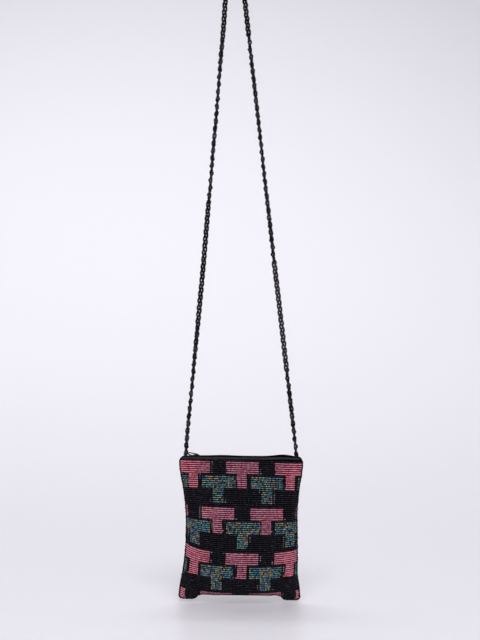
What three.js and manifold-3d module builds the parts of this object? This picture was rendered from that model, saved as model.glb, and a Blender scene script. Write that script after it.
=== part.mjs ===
// Beaded crossbody bag, hanging from its strap.
// Two beaded panels are sewn together at the sides and the bottom into a softly filled pouch,
// black beads edge the seam, a zip closes the mouth, and a strap of plaited bead strands
// runs from one top corner to the other.
// Millimetres. +Z is up, +X to the right of the front panel, and +Y from front to back.
// The origin is the underside of the strap's topmost bend, where a hook or a shoulder carries it.
import * as THREE from 'three';
import { mergeVertices } from 'three/addons/utils/BufferGeometryUtils.js';
import Module from 'manifold-3d';

const wasm = await Module();
wasm.setup();

const { clamp, lerp, smoothstep, degToRad } = THREE.MathUtils;

// Driving dimensions
const strapDrop = 561; // hanging point down to the rim of the mouth
const hang = { aside: 7.6, turn: 0.75 }; // the pouch hangs a little to the right, turned right side down
const wall = 2.4; // cloth with its layer of seed beads
const clearance = 0.3; // between pieces that touch on the real bag
const arcSteps = 10; // facets of each small arc
const panel = {
  across: 30, // facets from side to side
  rimDrops: [0, 0.6, 1.8, 3.8, 7], // section heights round the top corners
  straightSteps: 12, // sections from the corners to the bottom roll
  rollSteps: 10, // sections round the bottom roll
  cornerRadius: 7, // top corners, seen from the front
  earRadius: 3, // bottom corners, seen from the front
  rollHeight: 30, // height over which the bottom rounds under to the seam
  depth: 158.6, // rim to the lowest point of the bottom corners
  earFrom: 0.36, // between these shares of the half width the bottom seam comes down to the corners
  earTo: 0.5,
  tuck: 10, // how far the seam is drawn up between the corners
  foldFree: 8, // folds fade out towards the seam where the pouch is thinner than this
  liftFade: 6.5, // the rim's waves end at this distance below it
  thinnest: 0.05, // least distance from the seam's plane away from the seam
};
const edging = { diameter: 1.8, sides: 8, topDrop: 5, gap: 0.65 };
const strap = { diameter: 4.4, sides: 8, bendRadius: 6, bendSteps: 6, seat: 61.8, seatGap: 0.5 };
const zip = {
  halfLength: 62.4, // tape ends, from the middle
  coilEnd: 53, // right end of the coil; past both its ends the two tapes are sewn together
  tapeThickness: 1,
  recess: 3.6, // rim to the top of the tape
  slot: 1.5, // half of the space that the tapes leave for the coil
  coilWidth: 2.4,
  coilHeight: 1.6,
  coilFromPost: 1, // from the slider's post to the start of the closed coil
  tapeSteps: 24,
};
const slider = {
  x: -47,
  length: 9,
  width: 5.2,
  plate: 1,
  postInset: 1, // from the slider's nose
  postLength: 3,
  postWidth: 1.6,
  bailThickness: 1.2,
  bailHeight: 2.7,
  bailLength: 5,
  eyeRadius: 0.85,
  eyeHeight: 1.35, // middle of the eye above the upper plate
};
const pull = {
  wire: 1,
  length: 11.6,
  width: 3.6,
  corner: 1.2,
  arch: 2.7, // how far the loop is bent up between its ends
  lean: 0.55, // rise across the loop's width in the middle of its bend, as a slope
  restAngle: 8,
  steps: 36,
  sides: 8,
};

// Cross-sections of the filled pouch, by distance below the rim.
// middle is how far the section lies to the right, bulge is half its thickness, and squareness shapes it:
// 2 is an ellipse.
const pouchSections = [
  { drop: 0, halfWidth: 68, middle: 0, bulge: 6.6, squareness: 3 },
  { drop: 15, halfWidth: 67.4, middle: 0, bulge: 9.4, squareness: 2.8 },
  { drop: 35, halfWidth: 63.9, middle: 0.5, bulge: 12.8, squareness: 2.8 },
  { drop: 60, halfWidth: 61.3, middle: 1.1, bulge: 15.4, squareness: 2.8 },
  { drop: 80, halfWidth: 61.1, middle: 1.6, bulge: 16.5, squareness: 2.8 },
  { drop: 110, halfWidth: 61.9, middle: 1.4, bulge: 17.2, squareness: 2.7 },
  { drop: 130, halfWidth: 63.2, middle: 0.2, bulge: 17.4, squareness: 2.5 },
  { drop: 147, halfWidth: 65.9, middle: 0, bulge: 17.4, squareness: 2.3 },
  { drop: 159, halfWidth: 66.7, middle: 0, bulge: 17.4, squareness: 2.2 },
];

// Waves of the rim: where each is highest, its height and its width.
const rimWaves = [
  { x: 47, height: 2.2, width: 13 },
  { x: -32, height: 0.6, width: 12 },
];

// Dents (depth above 0) and puffs (below 0) of a panel, each along a line on its front.
const folds = [
  { fromX: -43, fromDrop: 156, toX: -50, toDrop: 134, depth: 1.8, width: 4.5 },
  { fromX: 42, fromDrop: 156, toX: 50, toDrop: 132, depth: 1.8, width: 4.5 },
  { fromX: -56, fromDrop: 146, toX: -57, toDrop: 138, depth: -1.2, width: 6 },
  { fromX: 55, fromDrop: 146, toX: 57, toDrop: 138, depth: -1.2, width: 6 },
  { fromX: -58, fromDrop: 92, toX: -38, toDrop: 104, depth: 1.2, width: 5 },
  { fromX: 58, fromDrop: 96, toX: 40, toDrop: 106, depth: 1, width: 5 },
  { fromX: -20, fromDrop: 70, toX: 26, toDrop: 62, depth: 0.8, width: 12 },
];

// The two sides of the strap: how far each is to the left or right of the hanging point,
// by height above the rim.
const strapRun = [
  { height: 23, left: 52.6, right: 66.6 },
  { height: 73, left: 47.7, right: 60.8 },
  { height: 107, left: 44.6, right: 56.8 },
  { height: 140, left: 41.4, right: 53.1 },
  { height: 174, left: 38.2, right: 49.2 },
  { height: 207, left: 35.1, right: 45.2 },
  { height: 240, left: 32.3, right: 41.5 },
  { height: 274, left: 29.4, right: 37.7 },
  { height: 307, left: 26.3, right: 33.8 },
  { height: 341, left: 23.7, right: 30.2 },
  { height: 374, left: 20.6, right: 26.5 },
  { height: 407, left: 18, right: 22.8 },
  { height: 441, left: 15.4, right: 18.8 },
  { height: 474, left: 12.4, right: 15.2 },
  { height: 508, left: 10, right: 11.5 },
];

// Finishes
const patternBeads = { color: 0x33242c, roughness: 0.25, metalness: 0 };
const blackBeads = { color: 0x131316, roughness: 0.2, metalness: 0 };
const wovenTape = { color: 0x1b1a1e, roughness: 0.85, metalness: 0 };
const nylonCoil = { color: 0x202024, roughness: 0.5, metalness: 0 };
const darkMetal = { color: 0x4a484c, roughness: 0.35, metalness: 0.9 };

const bag = new THREE.Group();
const pouch = new THREE.Group(); // its own origin is the middle of the rim
pouch.position.set(hang.aside, 0, -strapDrop);
pouch.rotation.y = degToRad(hang.turn);
pouch.updateMatrix();
bag.add(pouch);

function addPiece(parent, name, geometry, finish) {
  const mesh = new THREE.Mesh(geometry, new THREE.MeshStandardMaterial(finish));
  mesh.name = name;
  parent.add(mesh);
  return mesh;
}

// A smooth curve through one column of the section table.
function sectionValue(drop, column) {
  const last = pouchSections.length - 1;
  let i = 0;
  while (i < last - 1 && drop > pouchSections[i + 1].drop) i += 1;
  const [before, from, to, after] = [i - 1, i, i + 1, i + 2].map((k) => pouchSections[clamp(k, 0, last)]);
  const span = to.drop - from.drop;
  const t = clamp((drop - from.drop) / span, 0, 1);
  const slopeFrom = ((to[column] - before[column]) / (to.drop - before.drop)) * span;
  const slopeTo = ((after[column] - from[column]) / (after.drop - from.drop)) * span;
  const rise = to[column] - from[column];
  const curve = 3 * rise - 2 * slopeFrom - slopeTo;
  const bend = slopeFrom + slopeTo - 2 * rise;
  return from[column] + t * (slopeFrom + t * (curve + t * bend));
}

function foldDepth(x, drop) {
  let depth = 0;
  for (const fold of folds) {
    const start = new THREE.Vector2(fold.fromX, fold.fromDrop);
    const line = new THREE.Vector2(fold.toX, fold.toDrop).sub(start);
    const away = new THREE.Vector2(x, drop).sub(start);
    const along = clamp(away.dot(line) / line.lengthSq(), 0, 1);
    const distance = away.sub(line.multiplyScalar(along)).length();
    depth += fold.depth * Math.exp(-((distance / fold.width) ** 2));
  }
  return depth;
}

// How far the bottom seam is drawn up: fully in the middle, and not at the corners.
function seamRise(side) {
  return panel.tuck * (1 - smoothstep(Math.abs(side), panel.earFrom, panel.earTo));
}

// How far the rim's waves lift a point of the panel.
function rimLift(x, drop) {
  let lift = 0;
  for (const wave of rimWaves) lift += wave.height * Math.exp(-(((x - wave.x) / wave.width) ** 2));
  return lift * (1 - smoothstep(drop, 0, panel.liftFade));
}

// How far a corner of this radius draws the outline in, at a distance past the start of its curve.
function cornerRounding(radius, past) {
  return radius - Math.sqrt(radius ** 2 - clamp(past, 0, radius) ** 2);
}

// Half the width of a panel that ends at the given depth.
function outlineHalfWidth(drop, depth = panel.depth) {
  const top = cornerRounding(panel.cornerRadius, panel.cornerRadius - drop);
  const bottom = cornerRounding(panel.earRadius, drop - (depth - panel.earRadius));
  return sectionValue(drop, 'halfWidth') - top - bottom;
}

// A point on a panel's surface. side runs from -1 to 1 as an angle, and row is one of sectionRows().
// inset is 0 on the outer surface and the wall's thickness on the inner one.
function panelPoint(side, row, inset) {
  const angle = (side * Math.PI) / 2;
  const roll = Math.cos(row.rollAngle);
  const depth = panel.depth - inset;
  const drop = row.dropAt(depth - panel.rollHeight);
  const power = 2 / sectionValue(drop, 'squareness');
  const reach = Math.sign(angle) * Math.abs(Math.sin(angle)) ** power;
  const x = sectionValue(drop, 'middle') + (outlineHalfWidth(drop, depth) - inset) * reach;
  const bulge = (sectionValue(drop, 'bulge') - inset) * Math.cos(angle) ** power * roll;
  const dent = foldDepth(x, drop) * Math.min(1, bulge / panel.foldFree);
  const rise = seamRise(side) * (1 - roll) ** 2;
  const onSeam = Math.abs(side) === 1 || row.rollAngle === Math.PI / 2;
  const thickness = onSeam ? 0 : Math.max(bulge - dent, panel.thinnest);
  return new THREE.Vector3(x, -clearance / 2 - thickness, rise + rimLift(x, drop) - drop);
}

// The panel's sections from the rim to the bottom seam. dropAt gives a section's distance below the rim
// for a surface whose bottom roll starts at the given distance.
function sectionRows() {
  const rows = panel.rimDrops.map((drop) => ({ rollAngle: 0, dropAt: () => drop }));
  const rimEnd = panel.rimDrops.at(-1);
  for (let i = 1; i <= panel.straightSteps; i += 1) {
    rows.push({ rollAngle: 0, dropAt: (rollStart) => lerp(rimEnd, rollStart, i / panel.straightSteps) });
  }
  for (let i = 1; i <= panel.rollSteps; i += 1) {
    const rollAngle = (i / panel.rollSteps) * (Math.PI / 2);
    rows.push({ rollAngle, dropAt: (rollStart) => rollStart + panel.rollHeight * Math.sin(rollAngle) });
  }
  return rows;
}

// A closed wall between the outer and inner surfaces of a panel.
// facing is 1 for the front panel and -1 for the back one.
function panelGeometry(facing) {
  const rows = sectionRows();
  const columns = panel.across + 1;
  const corners = [];
  for (const inset of [0, wall]) {
    for (const row of rows) {
      for (let i = 0; i < columns; i += 1) {
        const point = panelPoint((2 * i) / panel.across - 1, row, inset);
        corners.push(point.x, point.y * facing, point.z);
      }
    }
  }
  const layer = rows.length * columns;
  const at = (surface, row, column) => surface * layer + row * columns + column;
  const faces = [];
  const quad = (a, b, c, d) => (facing > 0 ? faces.push(a, b, c, a, c, d) : faces.push(a, c, b, a, d, c));
  for (let r = 0; r < rows.length - 1; r += 1) {
    for (let c = 0; c < panel.across; c += 1) {
      quad(at(0, r, c), at(0, r + 1, c), at(0, r + 1, c + 1), at(0, r, c + 1));
      quad(at(1, r, c), at(1, r, c + 1), at(1, r + 1, c + 1), at(1, r + 1, c));
    }
    quad(at(0, r, 0), at(1, r, 0), at(1, r + 1, 0), at(0, r + 1, 0));
    quad(at(0, r, columns - 1), at(0, r + 1, columns - 1), at(1, r + 1, columns - 1), at(1, r, columns - 1));
  }
  const end = rows.length - 1;
  for (let c = 0; c < panel.across; c += 1) {
    quad(at(0, 0, c), at(0, 0, c + 1), at(1, 0, c + 1), at(1, 0, c));
    quad(at(0, end, c), at(1, end, c), at(1, end, c + 1), at(0, end, c + 1));
  }
  const geometry = new THREE.BufferGeometry();
  geometry.setAttribute('position', new THREE.Float32BufferAttribute(corners, 3));
  geometry.setIndex(faces);
  geometry.computeVertexNormals();
  return geometry;
}

// A route whose steps follow its own points, so that close points give fine steps in a bend.
class Route extends THREE.CatmullRomCurve3 {
  getPointAt(t, target) {
    return this.getPoint(t, target);
  }

  getTangentAt(t, target) {
    return this.getTangent(t, target);
  }
}

// A round tube along a route, closed at both ends.
function tubeGeometry(points, diameter, sides, stepsBetweenPoints) {
  const circle = new THREE.Shape();
  for (let i = 0; i < sides; i += 1) {
    const angle = (2 * Math.PI * i) / sides;
    const place = [(diameter / 2) * Math.cos(angle), (diameter / 2) * Math.sin(angle)];
    if (i === 0) circle.moveTo(...place);
    else circle.lineTo(...place);
  }
  circle.closePath();
  return new THREE.ExtrudeGeometry(circle, {
    extrudePath: new Route(points),
    steps: (points.length - 1) * stepsBetweenPoints,
    curveSegments: 1,
  });
}

// The strap's route from its left end over the bend to its right end.
function strapPoints() {
  const bendCentre = strap.diameter / 2 - strap.bendRadius; // the origin lies under the bend
  const seat = (side) => {
    const height = strap.seatGap + rimLift(side * (strap.seat - strap.diameter / 2), 0);
    return new THREE.Vector3(side * strap.seat, 0, height).applyMatrix4(pouch.matrix);
  };
  const points = [seat(-1)];
  for (const { height, left } of strapRun) points.push(new THREE.Vector3(-left, 0, height - strapDrop));
  for (let i = 0; i <= strap.bendSteps; i += 1) {
    const angle = Math.PI * (1 - i / strap.bendSteps);
    const reach = new THREE.Vector3(Math.cos(angle), 0, Math.sin(angle)).multiplyScalar(strap.bendRadius);
    points.push(reach.setZ(reach.z + bendCentre));
  }
  for (const { height, right } of [...strapRun].reverse()) {
    points.push(new THREE.Vector3(right, 0, height - strapDrop));
  }
  points.push(seat(1));
  return points;
}

// The edging's route down one side, along the bottom seam and up the other side.
function edgingPoints() {
  const off = edging.diameter / 2 + edging.gap;
  const sideRows = sectionRows().slice(panel.rimDrops.length);
  const bottomRow = sideRows.pop();
  const columns = panel.across;
  const top = (side) => {
    const x = sectionValue(edging.topDrop, 'middle') + side * outlineHalfWidth(edging.topDrop);
    return new THREE.Vector3(x, 0, -edging.topDrop);
  };
  const line = [top(-1)];
  for (const row of sideRows) line.push(panelPoint(-1, row, 0));
  for (let i = 0; i <= columns; i += 1) line.push(panelPoint((2 * i) / columns - 1, bottomRow, 0));
  for (const row of sideRows.reverse()) line.push(panelPoint(1, row, 0));
  line.push(top(1));
  const points = [];
  line.forEach((point, i) => {
    const along = line[Math.min(i + 1, line.length - 1)].clone().sub(line[Math.max(i - 1, 0)]);
    const outward = new THREE.Vector3(along.z, 0, -along.x).normalize();
    points.push(new THREE.Vector3(point.x, 0, point.z).addScaledVector(outward, off));
  });
  return points;
}

const coilMiddle = -zip.recess - zip.tapeThickness / 2; // height of the tape's middle
const sliderNose = slider.x - slider.length / 2;

// The inside of the mouth: half its width at x, below the rim by drop.
function mouthHalfWidth(x, drop) {
  const reach = outlineHalfWidth(drop) - wall;
  const power = sectionValue(drop, 'squareness');
  const share = Math.max(0, 1 - (Math.abs(x) / reach) ** power) ** (1 / power);
  return (sectionValue(drop, 'bulge') - wall) * share;
}

// One half of the zip's tape, from the coil to the panel. facing is -1 for the front and 1 for the back.
function tapeGeometry(facing) {
  const outline = new THREE.Shape();
  const slotFrom = sliderNose - clearance;
  const slotTo = zip.coilEnd + clearance;
  outline.moveTo(-zip.halfLength, (facing * clearance) / 2);
  outline.lineTo(slotFrom, (facing * clearance) / 2);
  outline.lineTo(slotFrom, facing * zip.slot);
  outline.lineTo(slotTo, facing * zip.slot);
  outline.lineTo(slotTo, (facing * clearance) / 2);
  outline.lineTo(zip.halfLength, (facing * clearance) / 2);
  for (let i = 0; i <= zip.tapeSteps; i += 1) {
    const x = zip.halfLength * Math.cos((Math.PI * i) / zip.tapeSteps);
    outline.lineTo(x, facing * (mouthHalfWidth(x, zip.recess) - clearance));
  }
  outline.closePath();
  const geometry = new THREE.ExtrudeGeometry(outline, { depth: zip.tapeThickness, bevelEnabled: false });
  return geometry.translate(0, 0, -zip.recess - zip.tapeThickness);
}

// The closed coil from inside the slider to its right end.
function coilGeometry() {
  const section = new THREE.Shape();
  section.absellipse(0, 0, zip.coilHeight / 2, zip.coilWidth / 2, 0, 2 * Math.PI, false, 0);
  const from = sliderNose + slider.postInset + slider.postLength + zip.coilFromPost;
  const geometry = new THREE.ExtrudeGeometry(section, {
    depth: zip.coilEnd - from,
    bevelEnabled: false,
    curveSegments: arcSteps,
  });
  return geometry.rotateY(Math.PI / 2).translate(from, 0, coilMiddle);
}

function solidOf(geometry) {
  const bare = geometry.index ? geometry.toNonIndexed() : geometry.clone();
  bare.deleteAttribute('normal');
  bare.deleteAttribute('uv');
  const merged = mergeVertices(bare, 1e-4);
  return new wasm.Manifold(new wasm.Mesh({
    numProp: 3,
    vertProperties: merged.attributes.position.array,
    triVerts: new Uint32Array(merged.index.array),
  }));
}

function geometryOf(solid) {
  const mesh = solid.getMesh();
  const geometry = new THREE.BufferGeometry();
  geometry.setAttribute('position', new THREE.Float32BufferAttribute(mesh.vertProperties, 3));
  geometry.setIndex([...mesh.triVerts]);
  geometry.computeVertexNormals();
  return geometry;
}

// Two rounded plates that hold the coil between them, a post that parts it, and an eye for the pull.
function sliderGeometry() {
  const upper = coilMiddle + zip.coilHeight / 2 + clearance; // underside of the upper plate
  const lower = coilMiddle - zip.coilHeight / 2 - clearance; // top of the lower plate
  const plateShape = new THREE.Shape();
  const halfLength = slider.length / 2;
  const halfWidth = slider.width / 2;
  plateShape.moveTo(halfLength, -halfWidth);
  plateShape.lineTo(halfLength, halfWidth);
  plateShape.lineTo(-halfLength + halfWidth, halfWidth);
  plateShape.absarc(-halfLength + halfWidth, 0, halfWidth, Math.PI / 2, (3 * Math.PI) / 2, false);
  plateShape.closePath();
  const plate = (height) => new THREE.ExtrudeGeometry(plateShape, {
    depth: slider.plate,
    bevelEnabled: false,
    curveSegments: arcSteps,
  }).translate(slider.x, 0, height);
  const post = new THREE.BoxGeometry(slider.postLength, slider.postWidth, upper - lower + slider.plate)
    .translate(sliderNose + slider.postInset + slider.postLength / 2, 0, coilMiddle);
  const bailShape = new THREE.Shape();
  bailShape.moveTo(-slider.bailLength / 2, -slider.plate / 2);
  bailShape.lineTo(slider.bailLength / 2, -slider.plate / 2);
  bailShape.absarc(0, slider.eyeHeight, slider.bailHeight - slider.eyeHeight, 0, Math.PI, false);
  bailShape.closePath();
  const eye = new THREE.Path();
  eye.absarc(0, slider.eyeHeight, slider.eyeRadius, 0, 2 * Math.PI, true);
  bailShape.holes.push(eye);
  const bail = new THREE.ExtrudeGeometry(bailShape, {
    depth: slider.bailThickness,
    bevelEnabled: false,
    curveSegments: arcSteps,
  })
    .translate(0, 0, -slider.bailThickness / 2)
    .rotateX(Math.PI / 2)
    .translate(slider.x, 0, upper + slider.plate);
  const whole = [plate(upper), plate(lower - slider.plate), post, bail]
    .map(solidOf)
    .reduce((joined, piece) => joined.add(piece));
  return geometryOf(whole);
}

// The pull: a closed loop of wire through the eye, arched and a little twisted. Its own origin is
// the middle of the wire in the eye, and it reaches along -X.
function pullGeometry() {
  const near = -pull.corner;
  const far = pull.corner - pull.length;
  const reach = pull.width / 2 - pull.corner;
  const points = [];
  [[near, reach], [far, reach], [far, -reach], [near, -reach]].forEach(([x, y], turn) => {
    for (let i = 0; i <= 3; i += 1) {
      const angle = (turn + i / 3) * (Math.PI / 2);
      const round = new THREE.Vector3(Math.cos(angle), Math.sin(angle), 0).multiplyScalar(pull.corner);
      points.push(round.add(new THREE.Vector3(x, y, 0)));
    }
  });
  for (const point of points) {
    const share = -point.x / pull.length;
    point.z = 4 * share * (1 - share) * (pull.arch + pull.lean * point.y);
  }
  const loop = new THREE.CatmullRomCurve3(points, true);
  return new THREE.TubeGeometry(loop, pull.steps, pull.wire / 2, pull.sides, true);
}

addPiece(pouch, 'front_panel', panelGeometry(1), patternBeads);
addPiece(pouch, 'back_panel', panelGeometry(-1), patternBeads);
addPiece(pouch, 'edge_beading', tubeGeometry(edgingPoints(), edging.diameter, edging.sides, 1), blackBeads);
addPiece(pouch, 'zip_tape_front', tapeGeometry(-1), wovenTape);
addPiece(pouch, 'zip_tape_back', tapeGeometry(1), wovenTape);
addPiece(pouch, 'zip_coil', coilGeometry(), nylonCoil);
addPiece(pouch, 'zip_slider', sliderGeometry(), darkMetal);
addPiece(bag, 'strap', tubeGeometry(strapPoints(), strap.diameter, strap.sides, 2), blackBeads);

const zipPull = addPiece(pouch, 'zip_pull', pullGeometry(), darkMetal);
const eyeLevel = coilMiddle + zip.coilHeight / 2 + clearance + slider.plate + slider.eyeHeight;
zipPull.position.set(slider.x, 0, eyeLevel);
zipPull.rotation.y = degToRad(pull.restAngle);

export default bag;
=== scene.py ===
import math
import bmesh
import bpy
import numpy as np
from mathutils import Matrix, Vector


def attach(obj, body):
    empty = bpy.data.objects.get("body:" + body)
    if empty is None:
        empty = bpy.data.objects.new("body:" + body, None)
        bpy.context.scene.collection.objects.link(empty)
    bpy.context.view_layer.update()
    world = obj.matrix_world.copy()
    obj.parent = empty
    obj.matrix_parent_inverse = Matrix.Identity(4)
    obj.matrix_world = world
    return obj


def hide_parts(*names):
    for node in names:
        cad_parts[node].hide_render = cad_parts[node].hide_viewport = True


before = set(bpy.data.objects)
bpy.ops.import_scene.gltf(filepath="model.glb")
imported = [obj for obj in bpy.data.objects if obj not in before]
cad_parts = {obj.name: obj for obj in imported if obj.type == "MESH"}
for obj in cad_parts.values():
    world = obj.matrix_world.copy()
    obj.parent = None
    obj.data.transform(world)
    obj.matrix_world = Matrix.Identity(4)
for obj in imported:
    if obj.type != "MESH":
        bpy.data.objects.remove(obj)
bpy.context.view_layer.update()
mm = 0.001
draw = np.random.default_rng(11)

# The pouch's form in millimetres from the middle of its rim, as the frame has it.
pouch = {
    "aside": 7.6, "below": 561, "turn": 0.75,  # where it hangs, and its turn in degrees
    "depth": 158.6, "rollHeight": 30, "cornerRadius": 7, "earRadius": 3,
    "tuck": 10, "earFrom": 0.38, "earTo": 0.58, "foldFree": 8, "halfGap": 0.15,
    "liftFade": 6.5, "waves": ((47, 2.2, 13), (-20, 0.6, 12)),  # of the rim: x, height, width
    "frontWave": 0.25,  # the share of these in the front panel
    "drop": (0, 15, 35, 60, 80, 110, 130, 147, 159),
    "halfWidth": (68, 67.4, 63.9, 61.3, 61.1, 61.9, 63.2, 65.9, 66.7),
    "middle": (0, 0, 0.5, 1.1, 1.6, 1.4, 0.2, 0, 0),
    "bulge": (6.6, 9.4, 12.8, 15.4, 16.5, 17.2, 17.4, 17.4, 17.4),
    "squareness": (3, 2.8, 2.8, 2.8, 2.8, 2.7, 2.5, 2.3, 2.2),
    "folds": (  # from x and drop, to x and drop, depth, width
        (-43, 156, -50, 134, 2.2, 4.5),
        (42, 156, 50, 132, 2.2, 4.5),
        (-56, 146, -57, 138, -1.6, 6),
        (55, 146, 57, 138, -1.6, 6),
        (-58, 92, -38, 104, 1.2, 5),
        (58, 96, 40, 106, 1, 5),
        (-20, 70, 26, 62, 0.8, 12),
    ),
}
# Where the bottom starts to roll under, and its seam, as surface() counts along.
rollStart = pouch["depth"] - pouch["rollHeight"]
seamAt = rollStart + pouch["rollHeight"] * math.pi / 2
hangTurn = Matrix.Rotation(math.radians(pouch["turn"]), 4, "Y")
pouchPlace = Matrix.Translation((pouch["aside"] * mm, 0, -pouch["below"] * mm)) @ hangTurn


def sectionValue(drop, column):
    knots = np.array(pouch["drop"], float)
    values = np.array(pouch[column], float)
    last = len(knots) - 1
    i = np.clip(np.searchsorted(knots, drop) - 1, 0, last - 1)
    before = np.maximum(i - 1, 0)
    after = np.minimum(i + 2, last)
    span = knots[i + 1] - knots[i]
    t = np.clip((drop - knots[i]) / span, 0, 1)
    slopeFrom = (values[i + 1] - values[before]) / (knots[i + 1] - knots[before]) * span
    slopeTo = (values[after] - values[i]) / (knots[after] - knots[i]) * span
    rise = values[i + 1] - values[i]
    bend = 3 * rise - 2 * slopeFrom - slopeTo
    return values[i] + t * (slopeFrom + t * (bend + t * (slopeFrom + slopeTo - 2 * rise)))


def eased(share):
    return share * share * (3 - 2 * share)


def cornerRounding(radius, past):
    return radius - np.sqrt(radius**2 - np.clip(past, 0, radius) ** 2)


def outlineHalfWidth(drop):
    top = cornerRounding(pouch["cornerRadius"], pouch["cornerRadius"] - drop)
    bottom = cornerRounding(pouch["earRadius"], drop - (pouch["depth"] - pouch["earRadius"]))
    return sectionValue(drop, "halfWidth") - top - bottom


def foldDepth(x, drop):
    depth = np.zeros_like(x)
    for fromX, fromDrop, toX, toDrop, deep, width in pouch["folds"]:
        lineX = toX - fromX
        lineDrop = toDrop - fromDrop
        share = ((x - fromX) * lineX + (drop - fromDrop) * lineDrop) / (lineX**2 + lineDrop**2)
        share = np.clip(share, 0, 1)
        distance = np.hypot(x - fromX - share * lineX, drop - fromDrop - share * lineDrop)
        depth = depth + deep * np.exp(-((distance / width) ** 2))
    return depth


def rimLift(x, drop):
    lift = np.zeros_like(x)
    for at, height, width in pouch["waves"]:
        lift = lift + height * np.exp(-(((x - at) / width) ** 2))
    share = np.clip(drop / pouch["liftFade"], 0, 1)
    return lift * (1 - eased(share))


# A point of the front panel's outer surface. across is an angle from seam to seam,
# along runs from the rim to the bottom seam.
def surface(across, along):
    roll = np.clip((along - rollStart) / pouch["rollHeight"], 0, math.pi / 2)
    drop = np.minimum(along, rollStart) + pouch["rollHeight"] * np.sin(roll)
    power = 2 / sectionValue(drop, "squareness")
    reach = np.sign(across) * np.abs(np.sin(across)) ** power
    x = sectionValue(drop, "middle") + outlineHalfWidth(drop) * reach
    bulge = sectionValue(drop, "bulge") * np.maximum(np.cos(across), 0) ** power * np.cos(roll)
    dent = foldDepth(x, drop) * np.minimum(1, bulge / pouch["foldFree"])
    fromMiddle = np.abs(across) / (math.pi / 2)
    side = np.clip((fromMiddle - pouch["earFrom"]) / (pouch["earTo"] - pouch["earFrom"]), 0, 1)
    rise = pouch["tuck"] * (1 - eased(side)) * (1 - np.cos(roll)) ** 2
    y = -pouch["halfGap"] - np.maximum(bulge - dent, 0)
    return np.stack([x, y, rise + rimLift(x, drop) - drop], -1)


def unit(vectors):
    return vectors / np.maximum(np.linalg.norm(vectors, axis=-1, keepdims=True), 1e-9)


# Directions turned square to others, one for one.
def squareTo(vectors, axis):
    return unit(vectors - axis * (vectors * axis).sum(1, keepdims=True))


# The direction along a row, and the one that faces out.
def surfaceFrame(across, along):
    aside = 0.004
    down = 0.3
    right = surface(np.minimum(across + aside, math.pi / 2), along)
    left = surface(np.maximum(across - aside, -math.pi / 2), along)
    lower = surface(across, np.minimum(along + down, seamAt))
    upper = surface(across, np.maximum(along - down, 0))
    row = unit(right - left)
    out = unit(np.cross(lower - upper, row))
    out = np.where(out[:, 1:2] > 0, -out, out)
    return row, out


# Colours are given as on a screen.
def linear(colour):
    c = np.array(colour, float) / 255
    return np.where(c < 0.04045, c / 12.92, ((c + 0.055) / 1.055) ** 2.4)


def asColour(colour):
    return (*[float(c) for c in linear(colour)], 1)


# Materials
def newMaterial(name):
    material = bpy.data.materials.new(name)
    material.use_nodes = True
    nodes = material.node_tree.nodes
    return material, nodes, material.node_tree.links, nodes["Principled BSDF"]


def addNode(nodes, kind, **values):
    node = nodes.new(kind)
    for name, value in values.items():
        if name in node.inputs:
            node.inputs[name].default_value = value
        else:
            setattr(node, name, value)
    return node


glassLook = {"cloudScale": 900, "cloudDetail": 2, "coatRoughness": 0.08}


def beadGlass(name, roughness, metallic, coat, shine):
    material, nodes, links, shader = newMaterial(name)
    colour = addNode(nodes, "ShaderNodeAttribute", attribute_name="beadColour")
    place = addNode(nodes, "ShaderNodeTexCoord")
    cloud = addNode(nodes, "ShaderNodeTexNoise", Scale=glassLook["cloudScale"])
    cloud.inputs["Detail"].default_value = glassLook["cloudDetail"]
    links.new(place.outputs["Object"], cloud.inputs["Vector"])
    spread = addNode(nodes, "ShaderNodeMapRange")
    spread.inputs["To Min"].default_value = roughness[0]
    spread.inputs["To Max"].default_value = roughness[1]
    links.new(cloud.outputs["Fac"], spread.inputs["Value"])
    links.new(spread.outputs["Result"], shader.inputs["Roughness"])
    links.new(colour.outputs["Color"], shader.inputs["Base Color"])
    shader.inputs["Metallic"].default_value = metallic
    shader.inputs["Specular IOR Level"].default_value = shine
    shader.inputs["Coat Weight"].default_value = coat
    shader.inputs["Coat Roughness"].default_value = glassLook["coatRoughness"]
    return material


clothLook = {
    "distortion": 0.6, "detailScale": 3, "fuzzScale": 240, "fuzzDetail": 3, "lightFrom": 0.6,
    "bump": 0.6, "roughness": 0.85, "shine": 0.02,
}


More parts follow.
